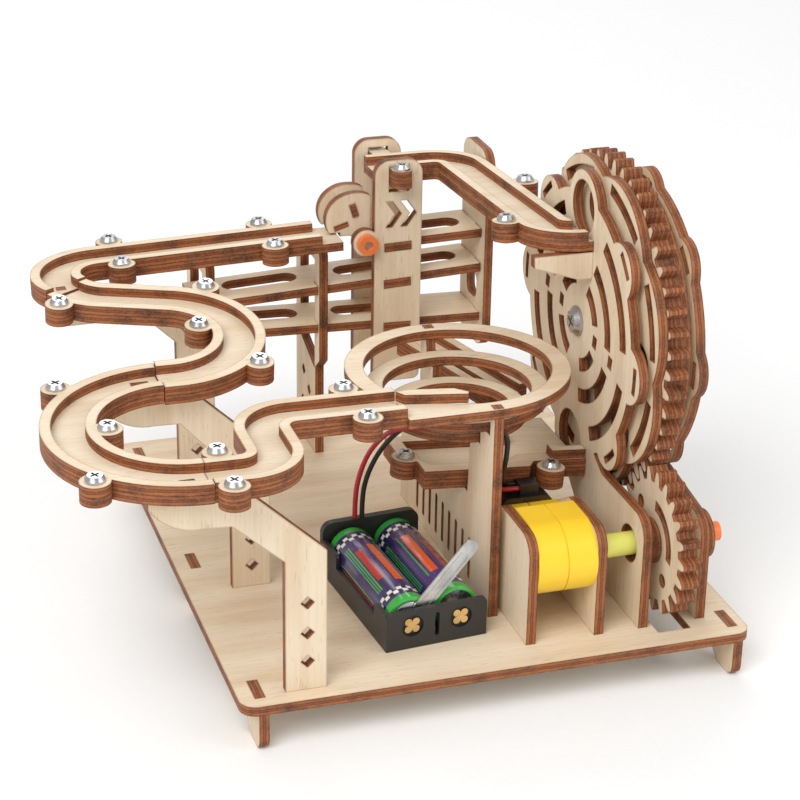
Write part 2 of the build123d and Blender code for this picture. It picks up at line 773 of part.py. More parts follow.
# ---- tray under the funnel ----
with BuildPart() as collector_floor:
    with BuildSketch(floor_tray()):
        with BuildLine():
            Polyline((66, 80.4), (66, 67), (70.6, 61.3), (70.6, 54), (84.1, 54), (87.3, 54),
                     (105, 54), (107.5, 57.5), (115, 57.5), (125.2, 57.5), (125.2, 96.3),
                     (106.5, 96.3), (106.5, 80.4), close=True)
        make_face()
        with Locations(*EARS_TRAY):
            Circle(EAR)
        with Locations(*EARS_TRAY):
            Circle(SCREW_HOLE, mode=Mode.SUBTRACT)
    extrude(amount=PLY)
collector_floor.part.label = "collector_floor"
export_step(collector_floor.part, "parts/collector_floor.step")

with BuildPart() as collector_rails:
    with BuildSketch(up(floor_tray(), PLY)):
        with BuildLine():
            Polyline((66, 80.4), (66, 67), (70.6, 61.3), (70.6, 54), (84.1, 54), (87.3, 54),
                     (105, 54), (107.5, 57.5), (115, 57.5), (125, 57.5), (125, 63),
                     (104, 63), (99, 59), (74, 59), (70.5, 67), (70.5, 76.5), (106.5, 76.5),
                     (106.5, 80.4), close=True)
        make_face()
        with Locations(*EARS_TRAY):
            Circle(EAR)
        with Locations(*EARS_TRAY):
            Circle(SCREW_HOLE, mode=Mode.SUBTRACT)
    extrude(amount=PLY)
    with BuildSketch(up(floor_tray(), 2 * PLY)):
        with BuildLine():
            Polyline((113.6, 62.8), (113.6, 57.9), (124.7, 57.9), (124.7, 61.2), (117, 61.2),
                     (117, 62.8), close=True)
        make_face()
    extrude(amount=PLY)
collector_rails.part.label = "collector_rails"
export_step(collector_rails.part, "parts/collector_rails.step")


# ---- lift wheel: guards, flower plate, gear, back plate ----
def ring_piece(inner, outer, middle_deg, half_deg):
    """Part of a ring about the wheel's axis, for an arc-shaped opening."""
    with BuildLine() as border:
        far = CenterArc((WHEEL_Y, WHEEL_Z), outer, middle_deg - half_deg, 2 * half_deg)
        near = CenterArc((WHEEL_Y, WHEEL_Z), inner, middle_deg - half_deg, 2 * half_deg)
        Line(far @ 0, near @ 0)
        Line(far @ 1, near @ 1)
    make_face(border.edges(), mode=Mode.SUBTRACT)


def on_wheel(radius, deg):
    x, y = polar(radius, deg)
    return (WHEEL_Y + x, WHEEL_Z + y)


LOBES = [3, 48, 138, 183, 228, 318]
EXIT_HOLE = on_wheel(POCKET_RADIUS, 90)
INLET_HOLE = (72.0, 37.0)

with BuildPart() as wheel_front_guard:
    with BuildSketch(along(GUARD_FRONT_X)):
        with Locations((WHEEL_Y, WHEEL_Z)):
            Circle(41.6)
        for deg in LOBES:
            with Locations(on_wheel(39.7, deg)):
                Circle(9)
        with Locations(EXIT_HOLE):
            Circle(11.6)
        with Locations(INLET_HOLE):
            Circle(13)
        with BuildLine():
            Polyline((11.4, 0), (11.4, 29))
            ThreePointArc((11.4, 29), (13.6, 34), (19, 36.1))
            Polyline((19, 36.1), (45, 36.1), (60, 44), (84, 44), (84, 33), (62, 16), (62, 0),
                     (11.4, 0))
        make_face()
        with Locations(EXIT_HOLE):
            Circle(8.5, mode=Mode.SUBTRACT)
        with Locations(INLET_HOLE):
            Circle(9, mode=Mode.SUBTRACT)
        with Locations((WHEEL_Y, WHEEL_Z)):
            Circle(AXLE_RADIUS + 0.05, mode=Mode.SUBTRACT)
        with Locations((PINION_Y, PINION_Z)):
            Circle(5.9, mode=Mode.SUBTRACT)
        for deg in (147.5, 220.5, 327.5):
            ring_piece(33.2, 37.6, deg, 27)
        ring_piece(33.2, 37.6, 41, 25)
        for deg in (150, 231, 330, 51):
            ring_piece(21.6, 26, deg, 31)
        for deg in (142, 234, 322, 54):
            ring_piece(11.8, 16, deg, 24)
        for deg in (188, 8):
            for radius in (14, 26.5):
                with Locations(on_wheel(radius, deg)):
                    Rectangle(3, 4, rotation=deg, mode=Mode.SUBTRACT)
        for deg in LOBES:
            ring_piece(43.6, 45.8, deg, 5.5)
    extrude(amount=PLY)
wheel_front_guard.part.label = "wheel_front_guard"
export_step(wheel_front_guard.part, "parts/wheel_front_guard.step")

with BuildPart() as wheel_rear_guard:
    with BuildSketch(along(GUARD_REAR_X)):
        with Locations((WHEEL_Y, WHEEL_Z)):
            Circle(45.5)
        for deg in LOBES + [93, 273]:
            with Locations(on_wheel(39.7, deg)):
                Circle(9)
        with BuildLine():
            Polyline((12, 0), (12, 27))
            ThreePointArc((12, 27), (14, 31.6), (19, 34))
            Polyline((19, 34), (45, 38), (60, 44), (84, 44), (84, 33), (62, 16), (62, 0), (12, 0))
        make_face()
        with Locations((WHEEL_Y, WHEEL_Z)):
            Circle(AXLE_RADIUS + 0.05, mode=Mode.SUBTRACT)
        for deg in LOBES + [93, 273]:
            ring_piece(43.6, 45.8, deg, 5.5)
        for deg in (150, 231, 330, 51):
            ring_piece(18, 36, deg, 31)
    extrude(amount=PLY)
    with BuildSketch(along(GUARD_REAR_X + PLY)):
        with Locations((PINION_Y, PINION_Z)):
            Circle(7.5)
    extrude(amount=PLY)
    with BuildSketch(along(GUARD_REAR_X)):
        with Locations((PINION_Y, PINION_Z)):
            Circle(3 + RUNNING)
    extrude(amount=2 * PLY, mode=Mode.SUBTRACT)
wheel_rear_guard.part.label = "wheel_rear_guard"
export_step(wheel_rear_guard.part, "parts/wheel_rear_guard.step")

with BuildPart() as wheel_front_plate:
    with BuildSketch(along(FLOWER_X)):
        for n in range(8):
            with Locations(on_wheel(26.5, 25.5 + 45 * n)):
                Circle(25)
        for n in range(8):
            ring_piece(44.6, 48.2, 25.5 + 45 * n, 14)
        for n in range(8):
            with Locations(on_wheel(POCKET_RADIUS, 45 * n)):
                Circle(6.6, mode=Mode.SUBTRACT)
        for n in range(4):
            ring_piece(13, 26, 45 + 90 * n, 32)
        with Locations((WHEEL_Y, WHEEL_Z)):
            Circle(AXLE_RADIUS + RUNNING, mode=Mode.SUBTRACT)
    extrude(amount=PLY)
wheel_front_plate.part.label = "wheel_front_plate"
export_step(wheel_front_plate.part, "parts/wheel_front_plate.step")

with BuildPart() as wheel_gear:
    for x in (GEAR_X, GEAR_X + PLY + 0.02):
        with BuildSketch(along(x)):
            with BuildLine():
                Polyline(*moved(gear_points(WHEEL_TEETH, 180 + MESH_DEG), WHEEL_Y, WHEEL_Z),
                         close=True)
            make_face()
            for n in range(8):
                with Locations(on_wheel(POCKET_RADIUS, 45 * n)):
                    Circle(6.4, mode=Mode.SUBTRACT)
            for n in range(4):
                ring_piece(13, 26, 45 + 90 * n, 32)
            with Locations((WHEEL_Y, WHEEL_Z)):
                Circle(AXLE_RADIUS + RUNNING, mode=Mode.SUBTRACT)
        extrude(amount=PLY)
wheel_gear.part.label = "wheel_gear"
export_step(wheel_gear.part, "parts/wheel_gear.step")

with BuildPart() as wheel_rear_plate:
    with BuildSketch(along(WHEEL_BACK_X)):
        with Locations((WHEEL_Y, WHEEL_Z)):
            Circle(47)
            Circle(AXLE_RADIUS + RUNNING, mode=Mode.SUBTRACT)
        for n in range(4):
            ring_piece(13, 26, 45 + 90 * n, 32)
    extrude(amount=PLY)
wheel_rear_plate.part.label = "wheel_rear_plate"
export_step(wheel_rear_plate.part, "parts/wheel_rear_plate.step")

with BuildPart() as wheel_axle:
    with BuildSketch(along(GUARD_FRONT_X)):
        with Locations((WHEEL_Y, WHEEL_Z)):
            Circle(AXLE_RADIUS)
    extrude(amount=GUARD_REAR_X + PLY - GUARD_FRONT_X)
    with BuildSketch(along(GUARD_FRONT_X + PLY + 0.1)):
        with Locations((WHEEL_Y, WHEEL_Z)):
            Circle(5)
    extrude(amount=1.5)
    with BuildSketch(along(WHEEL_BACK_X + PLY + 0.1)):
        with Locations((WHEEL_Y, WHEEL_Z)):
            Circle(5)
    extrude(amount=2)
wheel_axle.part.label = "wheel_axle"
export_step(wheel_axle.part, "parts/wheel_axle.step")

with BuildPart() as wheel_axle_screws:
    with BuildSketch(along(GUARD_FRONT_X - 0.02)):
        with Locations((WHEEL_Y, WHEEL_Z)):
            Circle(4.7)
    extrude(amount=-0.9)
    with BuildSketch(along(GUARD_FRONT_X - 0.92)):
        with Locations((WHEEL_Y, WHEEL_Z)):
            Circle(4.6)
    extrude(amount=-1.5, taper=42)
    with BuildSketch(along(GUARD_REAR_X + PLY + 0.02)):
        with Locations((WHEEL_Y, WHEEL_Z)):
            Circle(4.7)
    extrude(amount=0.9)
    with BuildSketch(along(GUARD_REAR_X + PLY + 0.92)):
        with Locations((WHEEL_Y, WHEEL_Z)):
            Circle(4.6)
    extrude(amount=1.5, taper=42)
    for x, way in ((GUARD_FRONT_X - 2.42, 1), (GUARD_REAR_X + PLY + 2.42, -1)):
        with BuildSketch(along(x)):
            with Locations((WHEEL_Y, WHEEL_Z)):
                Rectangle(4.4, 0.9, rotation=20)
                Rectangle(0.9, 4.4, rotation=20)
        extrude(amount=way * 1.1, mode=Mode.SUBTRACT)
wheel_axle_screws.part.label = "wheel_axle_screws"
export_step(wheel_axle_screws.part, "parts/wheel_axle_screws.step")

# ---- pinion that drives the wheel ----
with BuildPart() as pinion_gears:
    for x in (GEAR_X, GEAR_X + PLY + 0.02):
        with BuildSketch(along(x)):
            with BuildLine():
                Polyline(*moved(gear_points(PINION_TEETH, MESH_DEG + 180 / PINION_TEETH),
                                PINION_Y, PINION_Z), close=True)
            make_face()
            with Locations((PINION_Y, PINION_Z)):
                Circle(3.65, mode=Mode.SUBTRACT)
            for deg in (40, 228):
                dy, dz = polar(13, deg)
                with Locations((PINION_Y + dy, PINION_Z + dz)):
                    Circle(2.1, mode=Mode.SUBTRACT)
            for start in (92, 274):
                with BuildLine():
                    far = CenterArc((PINION_Y, PINION_Z), 13.4, start, 98)
                    near = CenterArc((PINION_Y, PINION_Z), 10, start, 98)
                    Line(far @ 0, near @ 0)
                    Line(far @ 1, near @ 1)
                make_face(mode=Mode.SUBTRACT)
        extrude(amount=PLY)
pinion_gears.part.label = "pinion_gears"
export_step(pinion_gears.part, "parts/pinion_gears.step")

with BuildPart() as pinion_spacer:
    with BuildSketch(along(FLOWER_X)):
        with Locations((PINION_Y, PINION_Z)):
            Circle(7)
            Circle(3.65, mode=Mode.SUBTRACT)
    extrude(amount=PLY)
pinion_spacer.part.label = "pinion_spacer"
export_step(pinion_spacer.part, "parts/pinion_spacer.step")

with BuildPart() as drive_sleeve:
    with BuildSketch(along(111.2)):
        with Locations((PINION_Y, PINION_Z)):
            Circle(3.6)
    extrude(amount=28.1)
drive_sleeve.part.label = "drive_sleeve"
export_step(drive_sleeve.part, "parts/drive_sleeve.step")

with BuildPart() as pinion_axle_cap:
    with BuildSketch(along(139.4)):
        with Locations((PINION_Y, PINION_Z)):
            Circle(3)
    extrude(amount=15.4)
    with BuildSketch(along(139.4)):
        with Locations((PINION_Y, PINION_Z)):
            Circle(5)
    extrude(amount=3.4)
pinion_axle_cap.part.label = "pinion_axle_cap"
export_step(pinion_axle_cap.part, "parts/pinion_axle_cap.step")

# ---- motor with its gearbox ----
with BuildPart() as motor_side_plates:
    for x in (89.4, 111.1):
        with BuildSketch(along(x)):
            with BuildLine():
                Polyline((11.4, 0), (11.4, 28.5))
                ThreePointArc((11.4, 28.5), (13.6, 32.8), (18.5, 34.6))
                Polyline((18.5, 34.6), (36, 34.6), (45.5, 29), (45.5, 0), (11.4, 0))
            make_face()
            if x > 100:
                with Locations((PINION_Y, PINION_Z)):
                    Circle(4.6, mode=Mode.SUBTRACT)
        extrude(amount=PLY)
motor_side_plates.part.label = "motor_side_plates"
export_step(motor_side_plates.part, "parts/motor_side_plates.step")

GEARBOX_TALL = 10.5         # how far behind the pinion's axis the gearbox keeps its height

with BuildPart() as motor_gearbox:
    for x in (92.45, 101.95):
        with BuildSketch(along(x)):
            with Locations((PINION_Y, PINION_Z)):
                Circle(11.25)
            with Locations((PINION_Y + GEARBOX_TALL / 2, PINION_Z)):
                Rectangle(GEARBOX_TALL, 22.5)
            with Locations((PINION_Y + 12, PINION_Z - 3)):
                Rectangle(24, 16.5)
        extrude(amount=9.1)
    with BuildSketch(along(101.5)):
        with Locations((PINION_Y, PINION_Z)):
            Circle(10.95)
        with Locations((PINION_Y + GEARBOX_TALL / 2, PINION_Z)):
            Rectangle(GEARBOX_TALL, 21.9)
    extrude(amount=0.5)
motor_gearbox.part.label = "motor_gearbox"
export_step(motor_gearbox.part, "parts/motor_gearbox.step")

with BuildPart() as motor_can:
    with BuildSketch(across(PINION_Y + 24.05)):
        with Locations((101.75, PINION_Z)):
            Circle(9.7)
            Rectangle(22, 14.2, mode=Mode.INTERSECT)
    extrude(amount=-24)
    with BuildSketch(across(PINION_Y + 48.05)):
        with Locations((101.75, PINION_Z)):
            Circle(3.4)
    extrude(amount=-2)
    with BuildSketch(level(PINION_Z + 7)):
        with Locations((103, 50.6)):
            Rectangle(6, 5.4)
    extrude(amount=3.2)
motor_can.part.label = "motor_can"
export_step(motor_can.part, "parts/motor_can.step")

# ---- battery box; it stands slightly turned ----
BOX_TURN = 4.9
BOX_LONG = 55.0
BOX_WIDE = 32.4
BOX_FLOOR = 1.4
BOX_FRONT = 1.45           # thickness of the front wall
BOX_BACK = 52.6            # inside of the back wall
BOX_SIDE = 7.5
CONTACTS = [(8.4, 7.5), (24, 7.5)]
CELL_FRONT = 2.75
CELL_LONG = 49.4
CELL_RADIUS = 7.1
NUB = 2.6
LEVER_PIVOT = (13.4, 11.2)
LEVER_FRONT = 2.12
LEVER_THICK = 0.5
LEVER_LEAN = 47.9


def box_level(z):
    turn = math.radians(BOX_TURN)
    return Plane(origin=(BASE_LEFT + 48.1, BASE_FRONT + 18.6, BASE_TOP + z),
                 x_dir=(math.cos(turn), math.sin(turn), 0), z_dir=(0, 0, 1))


def box_across(y):
    turn = math.radians(BOX_TURN)
    return Plane(origin=(BASE_LEFT + 48.1 - y * math.sin(turn),
                         BASE_FRONT + 18.6 + y * math.cos(turn), BASE_TOP),
                 x_dir=(math.cos(turn), math.sin(turn), 0),
                 z_dir=(math.sin(turn), -math.cos(turn), 0))


def box_along(x):
    turn = math.radians(BOX_TURN)
    return Plane(origin=(BASE_LEFT + 48.1 + x * math.cos(turn),
                         BASE_FRONT + 18.6 + x * math.sin(turn), BASE_TOP),
                 x_dir=(-math.sin(turn), math.cos(turn), 0),
                 z_dir=(math.cos(turn), math.sin(turn), 0))


with BuildPart() as battery_box:
    with BuildSketch(box_level(0)):
        with Locations((BOX_WIDE / 2, BOX_LONG / 2)):
            Rectangle(BOX_WIDE, BOX_LONG)
    extrude(amount=BOX_SIDE)
    with BuildSketch(box_along(0)):
        for middle, long in ((5, 10), (47, 12)):
            with Locations((middle, 6)):
                RectangleRounded(long, 12, 1.5)
    extrude(amount=1.2)
    with BuildSketch(box_level(BOX_FLOOR)):
        with Locations((BOX_WIDE / 2, (BOX_BACK + BOX_FRONT) / 2)):
            Rectangle(BOX_WIDE - 2.4, BOX_BACK - BOX_FRONT)
    extrude(amount=20, mode=Mode.SUBTRACT)
    with BuildSketch(box_across(0)) as front_wall:
        with Locations((BOX_WIDE / 2, 12.7 / 2)):
            Rectangle(BOX_WIDE, 12.7)
        fillet(front_wall.vertices().group_by(Axis.Y)[-1], 1.8)
    extrude(amount=-BOX_FRONT)
    with BuildSketch(box_across(BOX_BACK)) as back_wall:
        with Locations((BOX_WIDE / 2, 17.3 / 2)):
            Rectangle(BOX_WIDE, 17.3)
        fillet(back_wall.vertices().group_by(Axis.Y)[-1], 3.5)
    extrude(amount=BOX_BACK - BOX_LONG)
    with BuildSketch(box_level(BOX_FLOOR)):
        with Locations((BOX_WIDE / 2, BOX_LONG / 2 - 0.4)):
            Rectangle(0.8, BOX_LONG - 3.8)
    extrude(amount=3.5)
    with BuildSketch(box_across(0)):
        with Locations(*CONTACTS):
            Circle(3.5)
    extrude(amount=-1, mode=Mode.SUBTRACT)
    with BuildSketch(box_across(0)):
        with Locations(*CONTACTS):
            Circle(1.3)
        with Locations((16.3, 6.7)):
            SlotOverall(7.8, 1.4, rotation=90)
    extrude(amount=-BOX_FRONT, mode=Mode.SUBTRACT)
battery_box.part.label = "battery_box"
export_step(battery_box.part, "parts/battery_box.step")

with BuildPart() as battery_cells:
    for x, front, back in ((8.5, CELL_RADIUS, NUB), (23.9, NUB, CELL_RADIUS)):
        for y, radius, long in (
            (CELL_FRONT, front, 1),
            (CELL_FRONT + 1, CELL_RADIUS, CELL_LONG - 2),
            (CELL_FRONT + CELL_LONG - 1, back, 1),
        ):
            with BuildSketch(box_across(y)):
                with Locations((x, 1.5 + CELL_RADIUS)):
                    Circle(radius)
            extrude(amount=-long)
battery_cells.part.label = "battery_cells"
export_step(battery_cells.part, "parts/battery_cells.step")

with BuildPart() as battery_contacts:
    with BuildSketch(box_across(0.35)):
        for x, z in CONTACTS:
            with Locations((x, z)):
                Circle(1.25)
                with PolarLocations(1.7, 4, start_angle=45):
                    Circle(1.15)
    extrude(amount=-0.5)
    with BuildSketch(box_across(0.85)):
        with Locations(*CONTACTS):
            Circle(1.25)
    extrude(amount=-0.65)
    for x, z in CONTACTS:
        with BuildSketch(box_across(1.5)):
            with Locations((x, z)):
                Circle(4.2)
        extrude(amount=-0.5)
        with BuildSketch(box_across(52.55)):
            with Locations((x, 7)):
                Rectangle(10, 10.8)
        extrude(amount=0.3)
battery_contacts.part.label = "battery_contacts"
export_step(battery_contacts.part, "parts/battery_contacts.step")

# the lever lies between the front wall and the cells
with BuildPart() as switch_lever:
    with BuildSketch(box_across(LEVER_FRONT + LEVER_THICK)):
        with Locations(LEVER_PIVOT):
            Circle(2.6)
            with Locations((6.25, 9.25)):
                SlotOverall(27.8, 5, rotation=LEVER_LEAN)
        with Locations(LEVER_PIVOT):
            Circle(1.1, mode=Mode.SUBTRACT)
    extrude(amount=LEVER_THICK)
    with BuildSketch(box_across(LEVER_FRONT)):
        with Locations(LEVER_PIVOT):
            with Locations((5.6, 8.5)):
                SlotOverall(21, 3, rotation=LEVER_LEAN)
                SlotOverall(20.4, 2.4, rotation=LEVER_LEAN, mode=Mode.SUBTRACT)
    extrude(amount=-0.15, mode=Mode.SUBTRACT)
switch_lever.part.label = "switch_lever"
export_step(switch_lever.part, "parts/switch_lever.step")

with BuildPart() as switch_pivot:
    with BuildSketch(box_across(BOX_FRONT)):
        with Locations(LEVER_PIVOT):
            Circle(1.05)
    extrude(amount=-1.2)
switch_pivot.part.label = "switch_pivot"
export_step(switch_pivot.part, "parts/switch_pivot.step")

# ---- the screws of the tracks ----
SCREWED = [
    (floor_a(), EARS_A),
    (floor_b(), EARS_B),
    (floor_c(), EARS_C),
    (floor_d(), EARS_D),
    (floor_e(), EARS_E + NECKS_E),
    (floor_tray(), EARS_TRAY),
    (floor_chute(), EARS_CHUTE),
]
with BuildPart() as track_screws:
    for plane, spots in SCREWED:
        with BuildSketch(up(plane, 2 * PLY + 0.02)):
            with Locations(*spots):
                Circle(SCREW_HEAD)
        extrude(amount=0.7)
        with BuildSketch(up(plane, 2 * PLY + 0.72)):
            with Locations(*spots):
                Circle(SCREW_HEAD)
        extrude(amount=1.2, taper=30)
        with BuildSketch(up(plane, 2 * PLY + 1.92)):
            with Locations(*spots):
                Rectangle(3, 0.7, rotation=30)
                Rectangle(0.7, 3, rotation=30)
        extrude(amount=-1, mode=Mode.SUBTRACT)
        with BuildSketch(up(plane, -1)):
            with Locations(*spots):
                Circle(SCREW_SHANK)
        extrude(amount=2 * PLY + 1.02)
track_screws.part.label = "track_screws"
export_step(track_screws.part, "parts/track_screws.step")

# ---- the two wires from the battery box to the motor ----
WIRE = 1.6
RED_ROUTE = [
    (54.6, 73.1, 17.3), (54.6, 73.1, 25), (55.8, 72.2, 33), (57.6, 69.2, 41), (59, 63, 48),
    (60.2, 55.6, 54.2), (64.8, 49.6, 57.7), (71, 46.3, 57.8), (77, 44.3, 57.8),
    (82.4, 43.6, 57.8), (87.4, 43.4, 57.8), (90.2, 41.7, 54.6), (90, 41.3, 49.4),
    (89.6, 41.8, 44.4), (89.8, 43.9, 39.4), (91.9, 46.9, 34.7), (95.4, 48.9, 32.9),
    (100, 49.2, 32.7),
]
BLACK_ROUTE = [
    (57, 73.3, 17.3), (57, 73.3, 24.6), (58.2, 72.2, 32), (60.2, 69.2, 39.6),
    (61.3, 63.8, 46), (62.5, 57.6, 52.2), (65, 52.5, 57.2), (70.8, 48.7, 57.9),
    (76.6, 46.4, 57.9), (82.2, 45.7, 57.9), (87.4, 45.5, 57.9), (90.3, 44.3, 57.6),
    (93, 42.2, 54), (92.8, 41.8, 49), (92.6, 42.8, 44.2), (92.6, 45.8, 39.2),
    (94.3, 49.9, 35.2), (97, 51.9, 33), (100, 52.1, 32.7),
]


def bend_radii(route):
    points = [Vector(*p) for p in route]
    radii = []
    for before, here, after in zip(points, points[1:], points[2:]):
        first = here - before
        second = after - here
        turn = first.get_angle(second)
        shorter = min(first.length, second.length)
        radii.append(0.45 * shorter / math.tan(math.radians(turn / 2)))
    return radii


def in_frame(route):
    return [(BASE_LEFT + x, BASE_FRONT + y, BASE_TOP + z) for x, y, z in route]


with BuildPart() as red_wire:
    with BuildLine() as red_path:
        FilletPolyline(*in_frame(RED_ROUTE), radius=bend_radii(RED_ROUTE))
    with BuildSketch(Plane(origin=red_path.line @ 0, z_dir=red_path.line % 0)):
        Circle(WIRE / 2)
    sweep(path=red_path.line)
red_wire.part.label = "red_wire"
export_step(red_wire.part, "parts/red_wire.step")

with BuildPart() as black_wire:
    with BuildLine() as black_path:
        FilletPolyline(*in_frame(BLACK_ROUTE), radius=bend_radii(BLACK_ROUTE))
    with BuildSketch(Plane(origin=black_path.line @ 0, z_dir=black_path.line % 0)):
        Circle(WIRE / 2)
    sweep(path=black_path.line)
black_wire.part.label = "black_wire"
export_step(black_wire.part, "parts/black_wire.step")

for name, route, wire, path in (
    ("red", RED_ROUTE, red_wire, red_path),
    ("black", BLACK_ROUTE, black_wire, black_path),
):
    print(name, "bend radii", [round(r, 1) for r in bend_radii(route)])
    length = path.wires()[0].length
    print(name, "length", round(length, 1), "volume", round(wire.part.volume, 1),
          "section x length", round(math.pi * WIRE ** 2 / 4 * length, 1))
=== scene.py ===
"""Marble run in laser-cut plywood: materials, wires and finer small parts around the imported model."""

import json
import math

import bmesh
import bpy
from mathutils import Matrix, Vector


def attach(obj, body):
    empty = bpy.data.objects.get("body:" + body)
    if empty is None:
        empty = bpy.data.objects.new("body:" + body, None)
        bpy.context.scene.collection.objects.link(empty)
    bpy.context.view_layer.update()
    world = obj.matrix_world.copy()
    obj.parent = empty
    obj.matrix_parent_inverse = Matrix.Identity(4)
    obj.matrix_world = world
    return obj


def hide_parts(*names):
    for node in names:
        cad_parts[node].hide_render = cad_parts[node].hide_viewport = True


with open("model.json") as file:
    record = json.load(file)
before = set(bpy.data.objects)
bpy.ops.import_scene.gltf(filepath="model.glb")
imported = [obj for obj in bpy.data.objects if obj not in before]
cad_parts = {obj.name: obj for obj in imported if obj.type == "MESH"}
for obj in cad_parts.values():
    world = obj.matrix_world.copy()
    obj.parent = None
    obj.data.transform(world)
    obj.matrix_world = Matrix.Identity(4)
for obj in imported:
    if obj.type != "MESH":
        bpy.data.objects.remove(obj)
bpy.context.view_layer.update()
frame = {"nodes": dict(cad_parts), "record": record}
NODES = frame["nodes"]

MM = 0.001
PLY = 3 * MM
# the base plate's front left top corner in the shared frame
CORNER = Vector((-0.0556, -0.08715, 0.015))


def at(x, y, z):
    """A point given in metres from the base plate's corner, in the shared frame."""
    return CORNER + Vector((x, y, z))


# ---- camera ----
CAMERA_POINT = Vector((-0.18335, -0.61580, 0.35235))
CAMERA_AZIMUTH = -18.095
CAMERA_ELEVATION = 23.971
CAMERA_ROLL = 0.988
CAMERA_LENS = 101.1


def make_camera():
    """The photograph's viewing angle, with no shift and no depth of field."""
    azimuth = math.radians(CAMERA_AZIMUTH)
    elevation = math.radians(CAMERA_ELEVATION)
    roll = math.radians(CAMERA_ROLL)
    back = Vector((math.sin(azimuth) * math.cos(elevation),
                   -math.cos(azimuth) * math.cos(elevation), math.sin(elevation)))
    level_right = (-back).cross(Vector((0, 0, 1))).normalized()
    level_up = level_right.cross(-back)
    right = level_right * math.cos(roll) + level_up * math.sin(roll)
    up = level_up * math.cos(roll) - level_right * math.sin(roll)
    data = bpy.data.cameras.new("camera")
    data.lens = CAMERA_LENS
    data.sensor_width = 36
    data.clip_start = 0.01
    data.clip_end = 20
    camera = bpy.data.objects.new("camera", data)
    bpy.context.scene.collection.objects.link(camera)
    turn = Matrix((right, up, back)).transposed()
    camera.matrix_world = Matrix.Translation(CAMERA_POINT) @ turn.to_4x4()
    bpy.context.scene.camera = camera


make_camera()

# ---- the two wires, as free cords, in metres from the base plate's corner ----
WIRE = 0.0016
RED_ROUTE = [
    (0.0546, 0.0731, 0.0173), (0.0546, 0.0731, 0.0250), (0.0558, 0.0722, 0.0330),
    (0.0576, 0.0692, 0.0410), (0.0590, 0.0630, 0.0480), (0.0602, 0.0556, 0.0542),
    (0.0648, 0.0496, 0.0577), (0.0710, 0.0463, 0.0578), (0.0770, 0.0443, 0.0578),
    (0.0824, 0.0436, 0.0578), (0.0874, 0.0434, 0.0578), (0.0902, 0.0417, 0.0546),
    (0.0900, 0.0413, 0.0494), (0.0896, 0.0418, 0.0444), (0.0898, 0.0439, 0.0394),
    (0.0919, 0.0469, 0.0347), (0.0954, 0.0489, 0.0329), (0.1000, 0.0492, 0.0327),
]
BLACK_ROUTE = [
    (0.0570, 0.0733, 0.0173), (0.0570, 0.0733, 0.0246), (0.0582, 0.0722, 0.0320),
    (0.0602, 0.0692, 0.0396), (0.0613, 0.0638, 0.0460), (0.0625, 0.0576, 0.0522),
    (0.0650, 0.0525, 0.0572), (0.0708, 0.0487, 0.0579), (0.0766, 0.0464, 0.0579),
    (0.0822, 0.0457, 0.0579), (0.0874, 0.0455, 0.0579), (0.0903, 0.0443, 0.0576),
    (0.0930, 0.0422, 0.0540), (0.0928, 0.0418, 0.0490), (0.0926, 0.0428, 0.0442),
    (0.0926, 0.0458, 0.0392), (0.0943, 0.0499, 0.0352), (0.0970, 0.0519, 0.0330),
    (0.1000, 0.0521, 0.0327),
]


def make_wire(name, route):
    """A round wire on one smooth curve through the middle of its route."""
    data = bpy.data.curves.new(name, "CURVE")
    data.dimensions = "3D"
    data.bevel_depth = 1.0
    data.bevel_resolution = 6
    data.use_fill_caps = True
    spline = data.splines.new("NURBS")
    spline.points.add(len(route) - 1)
    for point, place in zip(spline.points, route):
        point.co = (*at(*place), 1)
        point.radius = WIRE / 2
    spline.order_u = 3
    spline.use_endpoint_u = True
    spline.resolution_u = 10
    wire = bpy.data.objects.new(name + "_lead", data)
    bpy.context.scene.collection.objects.link(wire)
    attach(wire, "frame")
    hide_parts(name)
    return wire


red_lead = make_wire("red_wire", RED_ROUTE)
black_lead = make_wire("black_wire", BLACK_ROUTE)


